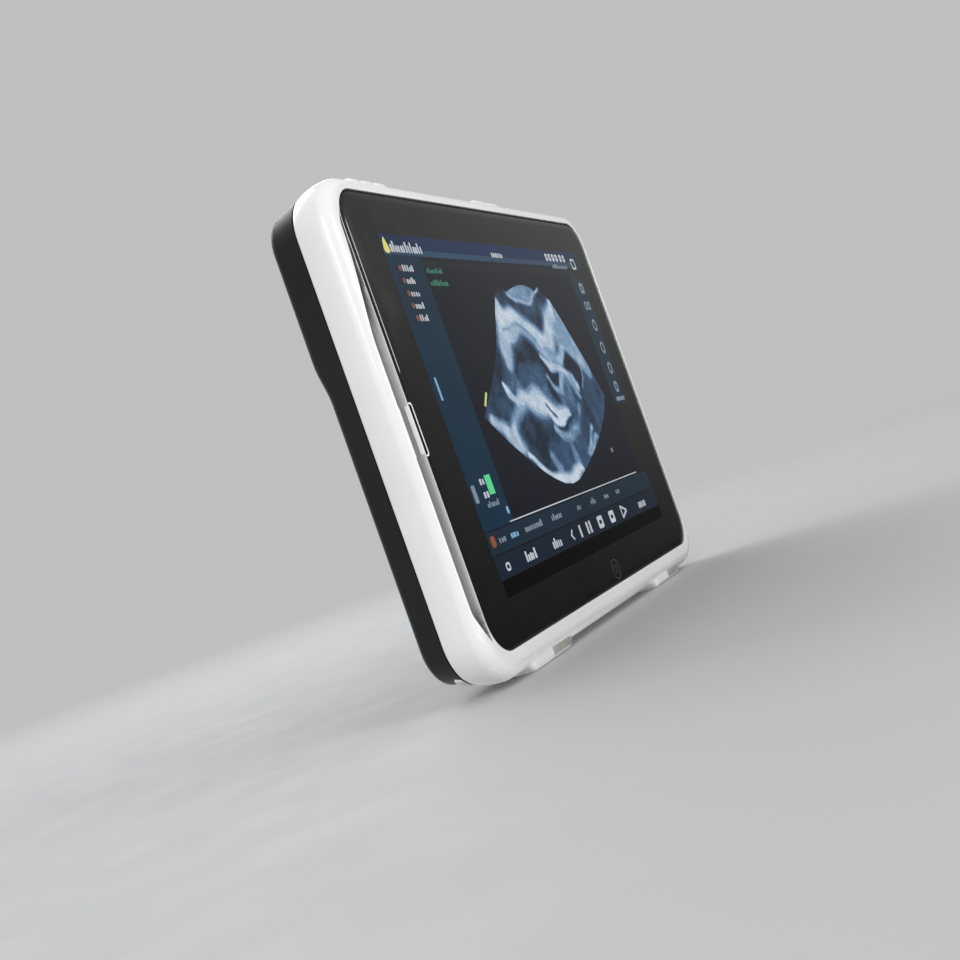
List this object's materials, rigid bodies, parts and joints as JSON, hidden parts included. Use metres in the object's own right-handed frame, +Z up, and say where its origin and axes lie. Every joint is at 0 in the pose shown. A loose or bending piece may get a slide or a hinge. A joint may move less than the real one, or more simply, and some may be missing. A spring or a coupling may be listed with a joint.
{
  "type": "tablet ultrasound scanner",
  "caption": "Slate-style portable ultrasound scanner: white bumper frame, black rear housing, glass touch screen, top keys, folding kickstand, probe socket, removable battery.",
  "frame": {"origin": "bottom centre of the bounding box, on the surface that the scanner stands on", "axes": "+X to the right as seen by the user, +Z up the screen, screen faces -Y"},
  "size_m": [0.317, 0.035, 0.2235],
  "materials": {
    "white_shell": "satin-gloss moulded plastic",
    "black_shell": "finely grained black moulded plastic",
    "seal_rubber": "matte",
    "cover_glass": "polished, printed black behind its border",
    "printed_ring": "thin metallic ink ring",
    "light_pipe": "clear-white light pipe",
    "dock_pad": "satin greige pad",
    "foot_rubber": "matte rubber",
    "light_trim": "light grey trim",
    "white_key": "satin-gloss keys",
    "stand_metal": "black powder coat",
    "steel": "stainless",
    "brass_insert": "machined",
    "black_screw": "black oxide",
    "battery_shell": "grained",
    "latch_plastic": "orange touch point",
    "connector_plastic": "matte",
    "inner_plastic": "matte",
    "plated_shell": "nickel plated",
    "aluminium_fin": "bare",
    "copper_pipe": "copper",
    "circuit_board": "green solder mask",
    "screen_picture": null,
    "magnesium": "cast magnesium, satin",
    "flex_film": "amber film"
  },
  "bodies": {
    "housing": {"front_frame": "white_shell", "rear_cover": "black_shell", "seam_gasket": "seal_rubber", "glass_panel": "cover_glass", "glass_gasket": "seal_rubber", "home_key_ring": "printed_ring", "home_key_board": "circuit_board", "status_light_bar": "light_pipe", "dock_pad_left": "dock_pad", "dock_pad_right": "dock_pad", "rear_feet": "foot_rubber", "corner_bumpers": "light_trim", "key_lamp_lens": "light_trim", "microphone_cap": "light_trim", "key_switch_board": "circuit_board", "stand_pins": "steel", "stand_washers": "steel", "mount_inserts": "brass_insert", "case_screws": "black_screw", "battery_pack": "battery_shell", "battery_connector": "connector_plastic", "port_door_pin": "steel", "port_bezel": "inner_plastic", "usb_socket": "plated_shell", "hdmi_socket": "plated_shell", "dc_jack": "connector_plastic", "probe_socket_shell": "plated_shell", "probe_socket_insert": "connector_plastic", "fan_housing": "inner_plastic", "heatsink": "aluminium_fin", "heat_pipe": "copper_pipe", "heat_spreader": "aluminium_fin", "main_board": "circuit_board", "beamformer_board": "circuit_board", "board_shields": "plated_shell", "board_screws": "steel", "storage_module": "circuit_board", "radio_module": "circuit_board", "antennas": "copper_pipe", "speaker_left": "inner_plastic", "speaker_right": "inner_plastic", "lcd_panel": "screen_picture", "chassis": "magnesium", "chassis_screws": "steel", "screen_flex": "flex_film"},
    "control_key_left": {"control_key_left": "white_key"},
    "control_key_middle": {"control_key_middle": "white_key"},
    "control_key_right": {"control_key_right": "white_key"},
    "power_key": {"power_key": "white_key"},
    "capture_key": {"capture_key": "white_key"},
    "kickstand": {"kickstand": "stand_metal", "stand_grip": "foot_rubber"},
    "battery_latch": {"battery_latch": "latch_plastic"},
    "port_door": {"port_door": "foot_rubber"},
    "probe_lock": {"probe_lock_slider": "latch_plastic"},
    "fan": {"fan_impeller": "inner_plastic"}
  },
  "joints": [
    {"name": "control_key_left_press", "type": "slide", "parent": "housing", "child": "control_key_left", "axis": [0, 0, -1], "range_m": [0, 0.0008], "stiffness_N_per_m": 800, "springref_m": -0.0006},
    {"name": "control_key_middle_press", "type": "slide", "parent": "housing", "child": "control_key_middle", "axis": [0, 0, -1], "range_m": [0, 0.0008], "stiffness_N_per_m": 800, "springref_m": -0.0006},
    {"name": "control_key_right_press", "type": "slide", "parent": "housing", "child": "control_key_right", "axis": [0, 0, -1], "range_m": [0, 0.0008], "stiffness_N_per_m": 800, "springref_m": -0.0006},
    {"name": "power_key_press", "type": "slide", "parent": "housing", "child": "power_key", "axis": [0, 0, -1], "range_m": [0, 0.0008], "stiffness_N_per_m": 800, "springref_m": -0.0006},
    {"name": "capture_key_press", "type": "slide", "parent": "housing", "child": "capture_key", "axis": [0, 0, -1], "range_m": [0, 0.0008], "stiffness_N_per_m": 800, "springref_m": -0.0006},
    {"name": "kickstand_fold", "type": "hinge", "parent": "housing", "child": "kickstand", "pos_m": [0, 0.01305, 0.124], "axis": [1, 0, 0], "range_deg": [0, 62]},
    {"name": "battery_latch_slide", "type": "slide", "parent": "housing", "child": "battery_latch", "axis": [1, 0, 0], "range_m": [0, 0.004], "stiffness_N_per_m": 400, "springref_m": -0.002},
    {"name": "port_door_swing", "type": "hinge", "parent": "housing", "child": "port_door", "pos_m": [0.1542, 0.0057, 0.042], "axis": [0, 0, -1], "range_deg": [0, 95]},
    {"name": "probe_lock_slide", "type": "slide", "parent": "housing", "child": "probe_lock", "axis": [0, 0, 1], "range_m": [0, 0.006]},
    {"name": "fan_spin", "type": "hinge", "parent": "housing", "child": "fan", "pos_m": [0.096, 0.0079, 0.181], "axis": [0, 1, 0], "continuous": true}
  ]
}
